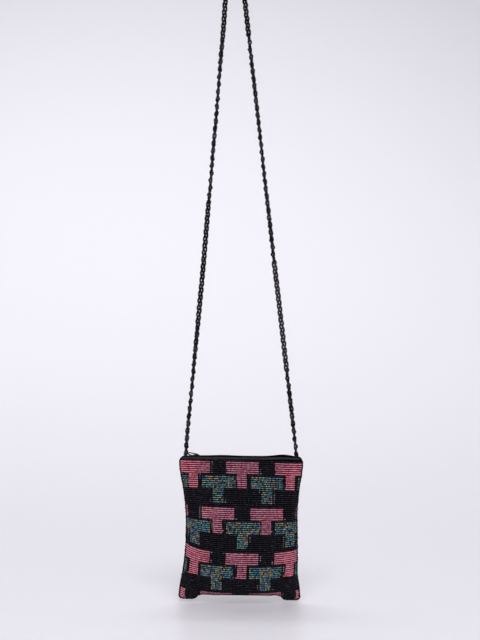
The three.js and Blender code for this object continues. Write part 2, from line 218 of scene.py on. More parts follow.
def wovenCloth(name, colour, lighter, pitch, depth):
    material, nodes, links, shader = newMaterial(name)
    place = addNode(nodes, "ShaderNodeTexCoord")
    ribs = []
    for direction in ("X", "Z"):
        wave = addNode(nodes, "ShaderNodeTexWave", bands_direction=direction)
        wave.inputs["Distortion"].default_value = clothLook["distortion"]
        wave.inputs["Scale"].default_value = math.pi / 10 / pitch  # one rib for each pitch
        wave.inputs["Detail Scale"].default_value = clothLook["detailScale"]
        links.new(place.outputs["Object"], wave.inputs["Vector"])
        ribs.append(wave)
    weave = addNode(nodes, "ShaderNodeMath", operation="MULTIPLY")
    links.new(ribs[0].outputs["Fac"], weave.inputs[0])
    links.new(ribs[1].outputs["Fac"], weave.inputs[1])
    fuzz = addNode(nodes, "ShaderNodeTexNoise", Scale=clothLook["fuzzScale"])
    fuzz.inputs["Detail"].default_value = clothLook["fuzzDetail"]
    links.new(place.outputs["Object"], fuzz.inputs["Vector"])
    mixed = addNode(nodes, "ShaderNodeMath", operation="MULTIPLY")
    links.new(weave.outputs[0], mixed.inputs[0])
    links.new(fuzz.outputs["Fac"], mixed.inputs[1])
    ramp = addNode(nodes, "ShaderNodeValToRGB")
    ramp.color_ramp.elements[0].color = asColour(colour)
    ramp.color_ramp.elements[1].color = asColour(lighter)
    ramp.color_ramp.elements[1].position = clothLook["lightFrom"]
    links.new(mixed.outputs[0], ramp.inputs["Fac"])
    links.new(ramp.outputs["Color"], shader.inputs["Base Color"])
    bump = addNode(nodes, "ShaderNodeBump", Strength=clothLook["bump"], Distance=depth)
    links.new(weave.outputs[0], bump.inputs["Height"])
    links.new(bump.outputs["Normal"], shader.inputs["Normal"])
    shader.inputs["Roughness"].default_value = clothLook["roughness"]
    shader.inputs["Specular IOR Level"].default_value = clothLook["shine"]
    return material


metalLook = {
    "rubScale": 700, "rubDetail": 4, "darkTo": 0.4, "lightFrom": 0.75,
    "roughness": (0.35, 0.6), "shine": 0.3,
}


def wornMetal(name, colour, lighter, metallic):
    material, nodes, links, shader = newMaterial(name)
    place = addNode(nodes, "ShaderNodeTexCoord")
    rub = addNode(nodes, "ShaderNodeTexNoise", Scale=metalLook["rubScale"])
    rub.inputs["Detail"].default_value = metalLook["rubDetail"]
    links.new(place.outputs["Object"], rub.inputs["Vector"])
    ramp = addNode(nodes, "ShaderNodeValToRGB")
    ramp.color_ramp.elements[0].color = asColour(colour)
    ramp.color_ramp.elements[0].position = metalLook["darkTo"]
    ramp.color_ramp.elements[1].color = asColour(lighter)
    ramp.color_ramp.elements[1].position = metalLook["lightFrom"]
    links.new(rub.outputs["Fac"], ramp.inputs["Fac"])
    links.new(ramp.outputs["Color"], shader.inputs["Base Color"])
    spread = addNode(nodes, "ShaderNodeMapRange")
    spread.inputs["To Min"].default_value = metalLook["roughness"][0]
    spread.inputs["To Max"].default_value = metalLook["roughness"][1]
    links.new(rub.outputs["Fac"], spread.inputs["Value"])
    links.new(spread.outputs["Result"], shader.inputs["Roughness"])
    shader.inputs["Metallic"].default_value = metallic
    shader.inputs["Specular IOR Level"].default_value = metalLook["shine"]
    return material


# roughness from and to, metallic, coat, shine
pinkGlass = beadGlass("pink_bead_glass", (0.16, 0.3), 0.1, 0.3, 0.5)
irisGlass = beadGlass("iris_bead_glass", (0.2, 0.35), 0.45, 0.2, 0.4)
jetGlass = beadGlass("jet_bead_glass", (0.16, 0.3), 0, 0, 0.06)
dullGlass = beadGlass("dull_bead_glass", (0.35, 0.55), 0, 0, 0.02)
coilNylon = beadGlass("coil_nylon", (0.4, 0.55), 0, 0, 0.4)
# colour, lighter colour, pitch of the weave and depth of its bump in metres
blackCotton = wovenCloth("black_cotton", (3, 3, 4), (8, 8, 10), 0.0006, 0.0002)
blackHem = wovenCloth("black_hem", (38, 35, 41), (82, 77, 86), 0.0005, 0.0002)
# The next cloth is the hem cloth made darker: painted shade for the back hem inside the opening.
shadedHem = wovenCloth("shaded_back_hem", (20, 18, 21), (44, 41, 46), 0.0005, 0.0002)
zipWeave = wovenCloth("zip_tape_weave", (14, 14, 17), (44, 43, 48), 0.0008, 0.0002)
blackThread = wovenCloth("black_thread", (12, 11, 14), (42, 40, 46), 0.0005, 0.0002)
gunmetal = wornMetal("gunmetal", (34, 33, 36), (74, 72, 76), 0.6)
darkWire = wornMetal("dark_wire", (6, 6, 7), (16, 15, 17), 0)
print("materials made")


# Pieces
def addPiece(name, mesh, material, body="bag"):
    piece = bpy.data.objects.new(name, mesh)
    bpy.context.scene.collection.objects.link(piece)
    mesh.materials.clear()
    mesh.materials.append(material)
    mesh.polygons.foreach_set("use_smooth", [True] * len(mesh.polygons))
    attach(piece, body)
    return piece


def takeMesh(bm, name):
    mesh = bpy.data.meshes.new(name)
    bm.to_mesh(mesh)
    bm.free()
    return mesh


# One bead with its hole along Z and its outer side to +Y: a short barrel, 1 long and 1 across.
barrel = {"half": 0.5, "endSize": 0.72, "shoulder": 0.3, "endFrom": 0.4}


def beadShape(sides):
    bm = bmesh.new()
    layer = bm.loops.layers.uv.new("OFBake")
    bmesh.ops.create_cone(
        bm, cap_ends=True, segments=sides, radius1=barrel["half"], radius2=barrel["half"],
        depth=2 * barrel["half"], calc_uvs=True,
    )
    upright = [e for e in bm.edges if abs(e.verts[0].co.z - e.verts[1].co.z) > barrel["half"]]
    bmesh.ops.subdivide_edges(bm, edges=upright, cuts=2)
    for v in bm.verts:
        if abs(v.co.z) > barrel["endFrom"]:
            v.co.x *= barrel["endSize"]
            v.co.y *= barrel["endSize"]
        else:
            v.co.z = math.copysign(barrel["shoulder"], v.co.z)
    bmesh.ops.recalc_face_normals(bm, faces=bm.faces)
    corners = np.array([v.co[:] for v in bm.verts])
    faces = [[v.index for v in f.verts] for f in bm.faces]
    patch = np.array([loop[layer].uv[:] for f in bm.faces for loop in f.loops])
    bm.free()
    return corners, faces, patch


# How rich a bead's colour is low down, in its painted shade, and on its painted crest highlight, and
# the margin of its patch of the UV map
beadLook = {"richInShade": 1.25, "richOnCrest": 0.9, "patchMargin": 0.04}


# Copies of one bead, joined in a mesh. Each has a colour with painted shade low down and at its
# ends and a painted highlight on its crest, and a patch of the UV map.
def joinBeads(name, shape, beads, shade=(1, 1, 1, 1)):
    corners, faces, patch = shape
    count = len(beads["centre"])
    size = beads["size"]
    local = corners[None] * np.stack([size[:, 1], size[:, 1], size[:, 0]], -1)[:, None]
    side = np.cross(beads["out"], beads["row"])
    spots = beads["centre"][:, None] + local[..., 0:1] * side[:, None]
    spots += local[..., 1:2] * beads["out"][:, None] + local[..., 2:3] * beads["row"][:, None]
    step = len(corners)
    totals = np.array([len(f) for f in faces])
    loops = np.concatenate(faces)
    allLoops = (loops[None] + step * np.arange(count)[:, None]).ravel()
    starts = np.cumsum(totals) - totals
    allStarts = (starts[None] + len(loops) * np.arange(count)[:, None]).ravel()
    mesh = bpy.data.meshes.new(name)
    mesh.vertices.add(count * step)
    mesh.vertices.foreach_set("co", (spots * mm).astype(np.float32).ravel())
    mesh.loops.add(len(allLoops))
    mesh.loops.foreach_set("vertex_index", allLoops.astype(np.int32))
    mesh.polygons.add(count * len(faces))
    mesh.polygons.foreach_set("loop_start", allStarts.astype(np.int32))
    mesh.update(calc_edges=True)
    # Painted light: each bead's colour is darkened at its foot and ends, brightened on its crest, and
    # made richer where the shade is painted.
    low, high, end, narrow = shade
    crest = np.clip(corners[:, 1] / barrel["half"], 0, 1) ** narrow
    atEnd = np.abs(corners[:, 2]) > barrel["endFrom"]
    tone = (low + (high - low) * crest) * np.where(atEnd, end, 1)
    colours = np.ones((count, step, 4), np.float32)
    rich = beadLook["richInShade"] + (beadLook["richOnCrest"] - beadLook["richInShade"]) * crest
    colours[..., :3] = beads["colour"][:, None] ** rich[None, :, None] * tone[None, :, None]
    layer = mesh.color_attributes.new("beadColour", "FLOAT_COLOR", "POINT")
    layer.data.foreach_set("color", colours.ravel())
    cells = math.ceil(math.sqrt(count))
    cell = np.stack([np.arange(count) % cells, np.arange(count) // cells], -1)
    margin = beadLook["patchMargin"]
    spread = (cell[:, None] + margin + (1 - 2 * margin) * patch[None]) / cells
    mesh.uv_layers.new(name="OFBake").data.foreach_set("uv", spread.astype(np.float32).ravel())
    if beads["onPouch"]:
        mesh.transform(pouchPlace)
    return mesh


# Round threads and wires along lines of points in millimetres.
def makeTubes(name, lines, radius, material, onPouch=True):
    curve = bpy.data.curves.new(name, "CURVE")
    curve.dimensions = "3D"
    curve.bevel_depth = radius * mm
    curve.bevel_resolution = 2
    curve.use_fill_caps = True
    for line in lines:
        run = curve.splines.new("POLY")
        run.points.add(len(line) - 1)
        for point, place in zip(run.points, line):
            point.co = (*[float(c) * mm for c in place], 1)
    holder = bpy.data.objects.new(name, curve)
    bpy.context.scene.collection.objects.link(holder)
    mesh = bpy.data.meshes.new_from_object(holder.evaluated_get(bpy.context.evaluated_depsgraph_get()))
    bpy.data.objects.remove(holder)
    bpy.data.curves.remove(curve)
    if onPouch:
        mesh.transform(pouchPlace)
    addPiece(name, mesh, material)


# The rows of beads on a panel. Rows count down from the pattern's first, columns from the middle.
rows = {
    "first": -1, "last": 73, "beadLength": 1.5, "diameter": 1.7, "sunk": 0.9,
    "middleRow": (-1, 0, 13, 22, 35, 44, 57), "middleDrop": (4.5, 6.6, 35.8, 57, 86, 106.6, 135),
    "lowPitch": 2.17,  # past the last of these
    "edgeRow": (-1, 0, 13, 22, 44, 53, 66, 71.5),
    "edgeDrop": (5, 7.2, 37.4, 56.4, 102.5, 123, 147.5, 159),
    "slant": 1.1, "edgeShare": 2.2, "acrossPower": 0.72, "angleSteps": 721, "middleSteps": 900,
    "sideMargin": 0.5, "seamMargin": 0.6, "rimMargin": 0.9, "mostAside": 60,
    # the rows are drawn up at the left seam
    "leftRow": (24, 30, 40, 44, 50, 57, 64), "leftLift": (0, 0.6, 2.6, 3.2, 2.7, 0.4, 0),
    "leftFrom": 0.6, "leftBend": 2.2,
    "asideRow": (12, 24, 44, 60), "aside": (0, -0.45, -0.45, -0.25),  # in beads
    # how uneven the beads are
    "rowSlip": 0.06, "beadSlip": 0.05, "wander": (0.05, 0.9, 0.05), "unevenSink": 0.05,
    "unevenTurn": 0.05, "lengths": (0.86, 1), "widths": (0.96, 1.04),
}
repeat = {
    "columns": 36, "rows": 22, "bar": 12, "barRows": 6, "stemRows": 13, "lower": 7, "middle": 1,
    "pinkStem": 3.6, "irisStem": 4, "lean": 0.5, "rightBand": 2,
}
kindNames = ("black", "pink", "iris", "glint")
blackKind, pinkKind, irisKind, glintKind = range(4)


def patternAt(row, column):
    band, inBand = np.divmod(row, repeat["rows"])
    half = repeat["columns"] // 2
    kind = np.zeros(len(column), int)
    lean = repeat["lean"] if band == repeat["rightBand"] else -repeat["lean"]
    for value, shift, lower in ((pinkKind, 0, 0), (irisKind, half, repeat["lower"])):
        fromMiddle = column - repeat["middle"] + half * (band % 2) + shift
        across = (fromMiddle + half) % repeat["columns"] - half
        step = inBand - lower
        inStem = np.abs(across) < repeat["irisStem"]
        if value == pinkKind:
            inStem = np.abs(across - lean) < repeat["pinkStem"]  # a bead narrower, so to one side
        bar = (step >= 0) & (step < repeat["barRows"]) & (np.abs(across) < repeat["bar"])
        stem = (step >= repeat["barRows"]) & (step < repeat["stemRows"]) & inStem
        kind[bar | stem] = value
    if row < 0:
        kind[:] = blackKind
    return kind


palettes = {  # share, colour as on a screen
    "pink": (
        (0.4, (204, 120, 148)), (0.25, (208, 106, 132)), (0.2, (216, 142, 166)), (0.15, (184, 86, 114)),
    ),
    "iris": (
        (0.23, (84, 146, 160)), (0.21, (30, 104, 156)), (0.22, (174, 158, 100)), (0.12, (96, 142, 122)),
        (0.07, (158, 98, 76)), (0.03, (112, 66, 116)), (0.12, (38, 42, 52)),
    ),
    "black": ((0.8, (11, 10, 14)), (0.2, (19, 18, 23))),
    "dull": ((0.7, (46, 43, 48)), (0.3, (60, 56, 62))),
    "glint": ((0.6, (44, 42, 47)), (0.4, (66, 64, 70))),
}
# how much one bead's tone differs from the next
evenness = {"pink": 0.18, "iris": 0.4, "black": 0.35, "dull": 0.3, "glint": 0.3}
# the share of beads that repeat the one before
runs = {"pink": 0.35, "iris": 0.05, "black": 0.35, "dull": 0.35, "glint": 0.35}
# colours dealt out in lots of about this many beads, each lot with the whole mix
decks = {"iris": 17}
paintedShades = {  # painted light on each bead: painted shade at its foot, painted highlight on its crest, painted shade at its ends, and how narrow the crest is
    "black": (0, 4.8, 0.6, 3.4), "pink": (0.09, 1.15, 0.8, 1.6), "iris": (0.09, 1.12, 0.8, 1.6),
}


def pickColours(name, count):
    shares = np.array([share for share, colour in palettes[name]])
    choices = np.array([linear(colour) for share, colour in palettes[name]])
    if name in decks:
        deck = np.repeat(np.arange(len(choices)), np.round(shares * decks[name]).astype(int))
        lots = [draw.permutation(deck) for i in range(count // len(deck) + 1)]
        picks = np.concatenate(lots)[:count]
    else:
        picks = draw.choice(len(choices), count, p=shares / shares.sum())
    same = np.flatnonzero(draw.random(count) < runs[name])
    picks[same] = picks[np.maximum(same - 1, 0)]  # short runs along a row
    return choices[picks] * (1 + evenness[name] * draw.uniform(-1, 1, (count, 1)))


# How far along a line each of its points is.
def reachAlong(points):
    return np.concatenate([[0], np.cumsum(np.linalg.norm(np.diff(points, axis=0), axis=1))])


middleAlong = np.linspace(0, seamAt, rows["middleSteps"])
middleReach = reachAlong(surface(np.zeros(rows["middleSteps"]), middleAlong))


# Where each row runs: evenly down the middle, and closer at the side seams.
def rowAlong(row, across):
    lastTabled = rows["middleRow"][-1]
    inMiddle = np.interp(row, rows["middleRow"], rows["middleDrop"])
    if row > lastTabled:
        reach = np.interp(inMiddle, middleAlong, middleReach) + rows["lowPitch"] * (row - lastTabled)
        inMiddle = np.interp(reach, middleReach, middleAlong) + max(0, reach - middleReach[-1])
    edgeDrop = np.interp(row, rows["edgeRow"], rows["edgeDrop"])
    past = np.clip((edgeDrop - rollStart) / pouch["rollHeight"], 0, 1)
    atEdge = min(edgeDrop, rollStart) + pouch["rollHeight"] * math.asin(past)
    share = np.sign(across) * np.abs(np.sin(across)) ** rows["acrossPower"]
    toLeft = np.clip((-share - rows["leftFrom"]) / (1 - rows["leftFrom"]), 0, 1) ** rows["leftBend"]
    drawnUp = np.interp(row, rows["leftRow"], rows["leftLift"]) * toLeft
    level = inMiddle + rows["slant"] * share - drawnUp
    return level + (atEdge - inMiddle) * np.abs(share) ** rows["edgeShare"]


def panelBeads():
    found = {"row": [], "column": [], "across": [], "along": []}
    angles = np.linspace(-math.pi / 2, math.pi / 2, rows["angleSteps"])
    for row in range(rows["first"], rows["last"]):
        along = rowAlong(row, angles)
        reach = reachAlong(surface(angles, np.minimum(along, seamAt)))
        reach -= np.interp(0, angles, reach)
        shift = np.interp(row, rows["asideRow"], rows["aside"])
        shift += draw.normal(0, rows["rowSlip"])
        columns = np.arange(-rows["mostAside"], rows["mostAside"]) + 0.5
        spots = (columns + shift) * rows["beadLength"]
        margin = rows["sideMargin"] + rows["beadLength"] / 2
        fits = (spots > reach[0] + margin) & (spots < reach[-1] - margin)
        columns = columns[fits]
        across = np.interp(spots[fits], reach, angles)
        beadAlong = rowAlong(row, across) + draw.normal(0, rows["beadSlip"], len(columns))
        keep = (beadAlong < seamAt - rows["seamMargin"]) & (beadAlong > rows["rimMargin"])
        found["row"].append(np.full(keep.sum(), row))
        found["column"].append(columns[keep])
        found["across"].append(across[keep])
        found["along"].append(beadAlong[keep])
    return {name: np.concatenate(values) for name, values in found.items()}


# Black beads one away from the blocks, coloured grey as painted glints, in short lengths
glints = {"share": 0.35, "run": 3, "apart": 1000}  # apart keeps the numbers of the lengths distinct


def paintBeads(beads):
    kind = np.zeros(len(beads["row"]), int)
    for row in np.unique(beads["row"]):
        here = beads["row"] == row
        wander = draw.choice([-1, 0, 1], p=rows["wander"])
        kind[here] = patternAt(row, beads["column"][here] + 0.5 * wander)
    edge = np.zeros(len(kind), bool)
    plain = kind == blackKind
    edge[2:] |= plain[2:] & plain[1:-1] & ~plain[:-2]
    edge[:-2] |= plain[:-2] & plain[1:-1] & ~plain[2:]
    inRow = np.round(beads["column"] / glints["run"]).astype(int)
    group = beads["row"] // glints["run"] * glints["apart"] + inRow
    known, member = np.unique(group, return_inverse=True)
    kind[edge & (draw.random(len(known)) < glints["share"])[member]] = glintKind
    colour = np.zeros((len(kind), 3))
    for value, name in enumerate(kindNames):
        colour[kind == value] = pickColours(name, (kind == value).sum())
    return kind, colour


# Pink is redder towards the side seams, and the colours are darker near the rim: painted shade where
# less light reaches the top of the bag.
tint = {
    "sidePower": 4, "sideMost": 0.4, "redder": (1.7, 0.6, 0.42),
    "upperRow": (0, 13, 44), "shadeNearRim": (0.86, 0.88, 1), "brightest": 0.85,
}


def makePanel(name, facing):
    beads = panelBeads()
    kind, colour = paintBeads(beads)
    pink = kind == pinkKind
    towardSide = np.minimum(np.abs(np.sin(beads["across"])) ** tint["sidePower"], tint["sideMost"])
    colour[pink] *= 1 + towardSide[pink, None] * np.array([tint["redder"]])
    coloured = kind != blackKind
    # Painted shade: the coloured beads are darkened in the rows near the rim.
    upper = np.interp(beads["row"], tint["upperRow"], tint["shadeNearRim"])[coloured, None]
    colour[coloured] = np.minimum(colour[coloured] * upper, tint["brightest"])
    row, out = surfaceFrame(beads["across"], beads["along"])
    count = len(kind)
    sunk = rows["sunk"] + draw.normal(0, rows["unevenSink"], (count, 1))
    centre = surface(beads["across"], beads["along"]) - out * sunk
    row = unit(row + draw.normal(0, rows["unevenTurn"], (count, 3)))
    out = squareTo(out, row)
    size = np.stack([
        rows["beadLength"] * draw.uniform(*rows["lengths"], count),
        rows["diameter"] * draw.uniform(*rows["widths"], count),
    ], -1)
    mirror = np.array([1, facing, 1])
    finishes = {"black": jetGlass, "pink": pinkGlass, "iris": irisGlass}
    for value, word in enumerate(kindNames[:glintKind]):
        use = (kind == value) | ((kind == glintKind) & (value == blackKind))
        chosen = {
            "centre": (centre * mirror)[use], "row": (row * mirror)[use], "out": (out * mirror)[use],
            "size": size[use], "colour": colour[use], "onPouch": True,
        }
        mesh = joinBeads(f"{name}_{word}_beads", beadShape(6), chosen, paintedShades[word])
        addPiece(f"{name}_{word}_beads", mesh, finishes[word])
        print(name, word, use.sum(), "beads")


makePanel("front", 1)
makePanel("back", -1)


# The cloth under the beads
cloth = {
    "across": 64, "along": 84, "sunk": 1.5, "thickness": 0.7, "seamFade": 5, "sideFade": 6,
    "edgeAngle": 1.55, "edgeMargin": 0.2,
}


def makeCloth(name, facing, node):
    bm = bmesh.new()
    bmesh.ops.create_grid(bm, x_segments=cloth["across"], y_segments=cloth["along"], size=1)
    flat = np.array([v.co[:] for v in bm.verts])
    across = flat[:, 0] * math.pi / 2
    along = (1 - flat[:, 1]) / 2 * seamAt
    inAcross = np.clip(across, -cloth["edgeAngle"], cloth["edgeAngle"])
    inAlong = np.clip(along, cloth["edgeMargin"], seamAt - cloth["edgeMargin"])
    row, out = surfaceFrame(inAcross, inAlong)
    share = np.clip(np.cos(across) * cloth["sideFade"], 0, 1)
    share = share * np.clip((seamAt - along) / cloth["seamFade"], 0, 1)
    places = surface(across, along) - out * cloth["sunk"] * share[:, None]
    places[:, 1] = np.minimum(places[:, 1], -pouch["halfGap"])
    places[:, 1] *= facing
    if facing > 0:
        places[:, 2] -= (1 - pouch["frontWave"]) * rimLift(places[:, 0], along)
    for v, place in zip(bm.verts, places):
        v.co = Vector(place) * mm
    toward = Vector((0, -facing, 0))
    bm.normal_update()
    if sum((f.normal.dot(toward) for f in bm.faces)) < 0:
        bmesh.ops.reverse_faces(bm, faces=bm.faces)
    mesh = takeMesh(bm, name)
    mesh.transform(pouchPlace)
    piece = addPiece(name, mesh, blackCotton)
    wall = piece.modifiers.new("thickness", "SOLIDIFY")
    wall.thickness = cloth["thickness"] * mm
    wall.offset = -1
    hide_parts(node)


makeCloth("front_cloth", 1, "front_panel")
makeCloth("back_cloth", -1, "back_panel")
print("cloth made")


# A smooth line through points, resampled at even steps.
def smoothLine(points, step, perSpan=40):
    points = np.array(points, float)
    padded = np.concatenate([[2 * points[0] - points[1]], points, [2 * points[-1] - points[-2]]])
    pieces = []
    for i in range(len(points) - 1):
        a, b, c, d = padded[i : i + 4]
        spans = [max(np.linalg.norm(q - p) ** 0.5, 1e-6) for p, q in ((a, b), (b, c), (c, d))]
        slopeB = ((b - a) / spans[0] - (c - a) / (spans[0] + spans[1]) + (c - b) / spans[1]) * spans[1]
        slopeC = ((c - b) / spans[1] - (d - b) / (spans[1] + spans[2]) + (d - c) / spans[2]) * spans[1]
        t = np.linspace(0, 1, perSpan, endpoint=False)[:, None]
        bend = 3 * (c - b) - 2 * slopeB - slopeC
        pieces.append(b + t * (slopeB + t * (bend + t * (slopeB + slopeC - 2 * (c - b)))))
    line = np.concatenate([*pieces, points[-1:]])
    reach = reachAlong(line)
    even = np.linspace(0, reach[-1], max(2, int(round(reach[-1] / step)) + 1))
    return np.stack([np.interp(even, reach, line[:, k]) for k in range(3)], -1)


# The strap: three strands of beads plaited into a flat band, which twists in places
strap = {
    "diameter": 4.4, "bendRadius": 6, "bendSteps": 6, "seat": 61.8, "sewnIn": 1.6,
    "height": (23, 73, 107, 140, 174, 207, 240, 274, 307, 341, 374, 407, 441, 474, 508),
    "left": (52.6, 47.7, 44.6, 41.4, 38.2, 35.1, 32.3, 29.4, 26.3, 23.7, 20.6, 18, 15.4, 12.4, 10),
    "right": (66.6, 60.8, 56.8, 53.1, 49.2, 45.2, 41.5, 37.7, 33.8, 30.2, 26.5, 22.8, 18.8, 15.2, 11.5),
    "strands": 3, "plait": 23, "halfWidth": 1.95, "halfDepth": 0.95, "neck": 4, "neckFrom": 0.3,
    "beadLength": 1.6, "beadWidth": 2.4, "lengths": (0.86, 1), "widths": (0.92, 1.06),
    "slip": 0.04, "unevenPlace": 0.05, "unevenTurn": 0.06, "thread": 0.75, "threadEvery": 20,
    # where it is twisted, from each end, how far in it stays broad, and what twisting does to the plait
    "twistedLeft": ((0, 145, 22), (284, 466, 12)), "twistedRight": ((0, 98, 40), (220, 474, 40)),
    "halfTurn": 8.2, "twistedWidth": 0.86, "twistedDepth": 0.35, "twistedBead": 0.97,
    "step": 0.05, "turnFade": 200, "twistFade": 1400,  # the fades in steps
}


def strapPoints():
    seats = []
    for side in (-1, 1):
        seat = Vector((side * strap["seat"], 0, -strap["sewnIn"])) * mm
        seats.append(pouchPlace @ seat / mm)
    points = [seats[0][:]]
    for height, left in zip(strap["height"], strap["left"]):
        points.append((-left, 0, height - pouch["below"]))
    for i in range(strap["bendSteps"] + 1):
        angle = math.pi * (1 - i / strap["bendSteps"])
        bendMiddle = strap["diameter"] / 2 - strap["bendRadius"]
        reach = Vector((math.cos(angle), 0, math.sin(angle))) * strap["bendRadius"]
        points.append((reach.x, 0, reach.z + bendMiddle))
    for height, right in reversed(list(zip(strap["height"], strap["right"]))):
        points.append((right, 0, height - pouch["below"]))
    points.append(seats[1][:])
    return points


# Rounds off the steps in values along the strap.
def soften(values, span):
    longer = np.pad(values, span // 2, "edge")
    return np.convolve(longer, np.ones(span) / span, "same")[span // 2 : -span // 2]


def strandLines():
    line = smoothLine(strapPoints(), strap["step"])
    ahead = unit(np.gradient(line, axis=0))
    sideways = np.tile([0.0, 1.0, 0.0], (len(line), 1))
    outward = unit(np.cross(ahead, sideways))
    reach = np.arange(len(line)) * strap["step"]
    length = reach[-1]
    fromEnd = np.minimum(reach, length - reach)
    stretches = list(strap["twistedLeft"])
    stretches += [(length - b, length - a, broad) for a, b, broad in strap["twistedRight"]]
    edgeOn = 0.5  # half turns: its edge is to the front where it is sewn in
    turns = np.full(len(reach), edgeOn)
    twist = np.zeros(len(reach))
    for start, stop, broadFor in stretches:
        count = round((stop - start) / strap["halfTurn"])
        if start == 0 or stop == length:
            count -= edgeOn
        turns += count * np.clip((reach - start) / (stop - start), 0, 1)
        narrowFrom = start + broadFor if start > 0 else 0
        narrowTo = stop - broadFor if stop < length else length
        twist[(reach >= narrowFrom) & (reach <= narrowTo)] = 1
    turn = math.pi * soften(turns, strap["turnFade"])[:, None]
    twist = soften(twist, strap["twistFade"])[:, None]
    broad = np.cos(turn) * outward + np.sin(turn) * sideways
    thin = np.cos(turn) * sideways - np.sin(turn) * outward
    neck = np.clip(strap["neckFrom"] + fromEnd / strap["neck"], 0, 1)[:, None]
    halfWidth = neck * strap["halfWidth"] * (1 + (strap["twistedWidth"] - 1) * twist)
    halfDepth = neck * strap["halfDepth"] * (1 + (strap["twistedDepth"] - 1) * twist)
    beadScale = 1 + (strap["twistedBead"] - 1) * twist[:, 0]
    strands = []
    for k in range(strap["strands"]):
        phase = (2 * math.pi * (reach / strap["plait"] + k / strap["strands"]))[:, None]
        swing = halfWidth * np.sin(phase) * broad + halfDepth * np.sin(2 * phase) * thin
        strands.append((line + swing, thin, fromEnd, beadScale))
    return strands


def makeStrap():
    parts = {"centre": [], "row": [], "out": [], "size": []}
    strands = strandLines()
    for line, thin, fromEnd, beadScale in strands:
        reach = reachAlong(line)
        spots = np.arange(0, reach[-1], strap["beadLength"])
        spots = spots + draw.normal(0, strap["slip"], len(spots))
        at = np.searchsorted(reach, spots).clip(0, len(line) - 2)
        at = at[fromEnd[at] > strap["beadLength"] / 2]
        ahead = unit(line[at + 1] - line[at])
        parts["centre"].append(line[at] + draw.normal(0, strap["unevenPlace"], (len(at), 3)))
        parts["row"].append(unit(ahead + draw.normal(0, strap["unevenTurn"], (len(at), 3))))
        parts["out"].append(squareTo(thin[at], ahead))
        parts["size"].append(np.stack([
            strap["beadLength"] * draw.uniform(*strap["lengths"], len(at)),
            strap["beadWidth"] * beadScale[at] * draw.uniform(*strap["widths"], len(at)),
        ], -1))
    beads = {name: np.concatenate(values) for name, values in parts.items()}
    beads["out"] = squareTo(beads["out"], beads["row"])
    beads["colour"] = pickColours("dull", len(beads["centre"]))
    beads["onPouch"] = False
    mesh = joinBeads("strap_beads", beadShape(8), beads)
    piece = addPiece("strap_beads", mesh, dullGlass)
    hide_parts("strap")
    threads = [line[:: strap["threadEvery"]] for line, *rest in strands]
    makeTubes("strap_threads", threads, strap["thread"], blackThread, onPouch=False)
    print("strap", len(beads["centre"]), "beads")


makeStrap()


# The line of beads over the side and bottom seams
edging = {
    "off": 0.55, "beadLength": 1.6, "beadWidth": 1.6, "lengths": (0.82, 1), "widths": (0.9, 1.08),
    "thread": 0.5, "cornerFrom": 0.25, "drawnIn": 0.8, "cornerSteps": 12, "sideSteps": 110,
    "bottomSteps": 161, "closest": 0.05, "unevenOff": 0.1, "slip": 0.08, "unevenTurn": 0.1,
}


def makeEdging():
    turned = np.linspace(edging["cornerFrom"], math.pi / 2, edging["cornerSteps"])
    corner = pouch["cornerRadius"] * (1 - np.cos(turned))
    below = np.linspace(pouch["cornerRadius"], seamAt, edging["sideSteps"])[1:]
    alongSide = np.concatenate([corner, below])
    left = surface(np.full(len(alongSide), -math.pi / 2), alongSide)
    acrossBottom = np.linspace(-math.pi / 2, math.pi / 2, edging["bottomSteps"])[1:-1]
    bottom = surface(acrossBottom, np.full(len(acrossBottom), seamAt))
    right = surface(np.full(len(alongSide), math.pi / 2), alongSide)[::-1]
    line = np.concatenate([left, bottom, right])
    line[:, 1] = 0
    steps = np.linalg.norm(np.diff(line, axis=0), axis=1)
    line = line[np.concatenate([[True], steps > edging["closest"]])]
    line = smoothLine(line, edging["beadLength"])
    ahead = unit(np.gradient(line, axis=0))
    out = np.cross(np.array([[0, 1, 0]]), ahead)
    fromCorner = np.clip(-line[:, 2:3] / pouch["cornerRadius"], 0, 1)
    line = line + out * (edging["off"] - edging["drawnIn"] * (1 - fromCorner))
    count = len(line)
    centre = line + out * draw.normal(0, edging["unevenOff"], (count, 1))
    beads = {
        "centre": centre + draw.normal(0, edging["slip"], (count, 3)),
        "row": unit(ahead + draw.normal(0, edging["unevenTurn"], (count, 3))), "out": out,
        "size": np.stack([
            edging["beadLength"] * draw.uniform(*edging["lengths"], count),
            edging["beadWidth"] * draw.uniform(*edging["widths"], count),
        ], -1),
        "colour": pickColours("black", count), "onPouch": True,
    }
    beads["out"] = squareTo(beads["out"], beads["row"])
    mesh = joinBeads("edge_beads", beadShape(8), beads)
    piece = addPiece("edge_beads", mesh, dullGlass)
    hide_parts("edge_beading")
    makeTubes("edge_thread", [line], edging["thread"], blackThread)
    print("edging", count, "beads")


makeEdging()

# The rolled hem along the rim of each panel
hem = {"radius": 1.25, "drop": 1.35, "inset": 1.1, "frontDrop": 0.7, "reach": 1.5, "points": 121}


def makeHem(name, facing, material):
    across = np.linspace(-hem["reach"], hem["reach"], hem["points"])
    along = np.full(hem["points"], hem["drop"])
    row, out = surfaceFrame(across, along)
    line = surface(across, along) - out * hem["inset"]
    line[:, 1] = np.minimum(line[:, 1], -hem["radius"]) * facing
    if facing > 0:
        line[:, 2] -= hem["frontDrop"] + (1 - pouch["frontWave"]) * rimLift(line[:, 0], along)
    makeTubes(name, [line], hem["radius"], material)


makeHem("front_hem", 1, blackHem)
# The back hem takes the darker hem cloth, which paints the shade inside the opening.
makeHem("back_hem", -1, shadedHem)

# The zip: teeth in two rows, and the frame's own tapes, slider and pull
teeth = {
    "from": -46, "to": 52.6, "pitch": 1.2, "length": 1.5, "width": 1.0, "aside": 0.42, "height": -4.0,
    "colour": (30, 30, 34),
}


